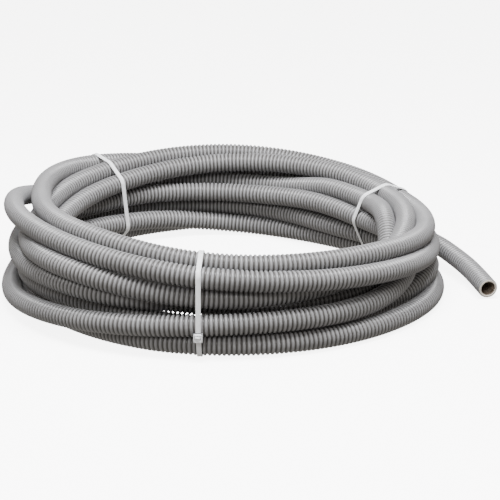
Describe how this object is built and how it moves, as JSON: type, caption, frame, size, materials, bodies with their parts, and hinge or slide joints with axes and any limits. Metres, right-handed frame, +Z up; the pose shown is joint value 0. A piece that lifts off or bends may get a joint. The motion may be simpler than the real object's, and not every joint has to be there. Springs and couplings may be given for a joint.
{
  "type": "corrugated waste hose roll",
  "caption": "Roll of flexible ribbed grey waste hose, wound into a loose ring that lies flat, held by nylon cable ties, with one open cut end standing out",
  "frame": {"origin": "centre of the bounding box in X and Y, on the surface that the roll lies on", "axes": "+Z up, through the ring. +X runs along the longest side of the box, towards the side where the free end stands out. The free end points to -Y"},
  "size_m": [0.5142, 0.4904, 0.1113],
  "materials": {
    "hose": "soft grey ribbed plastic, slightly satin on the crests",
    "tie": "natural nylon, milky and slightly translucent"
  },
  "bodies": {
    "root": {"hose_coil": "hose", "hose_free_end": "hose", "cable_tie_front": "tie", "cable_tie_right": "tie", "cable_tie_left": "tie"}
  },
  "joints": []
}
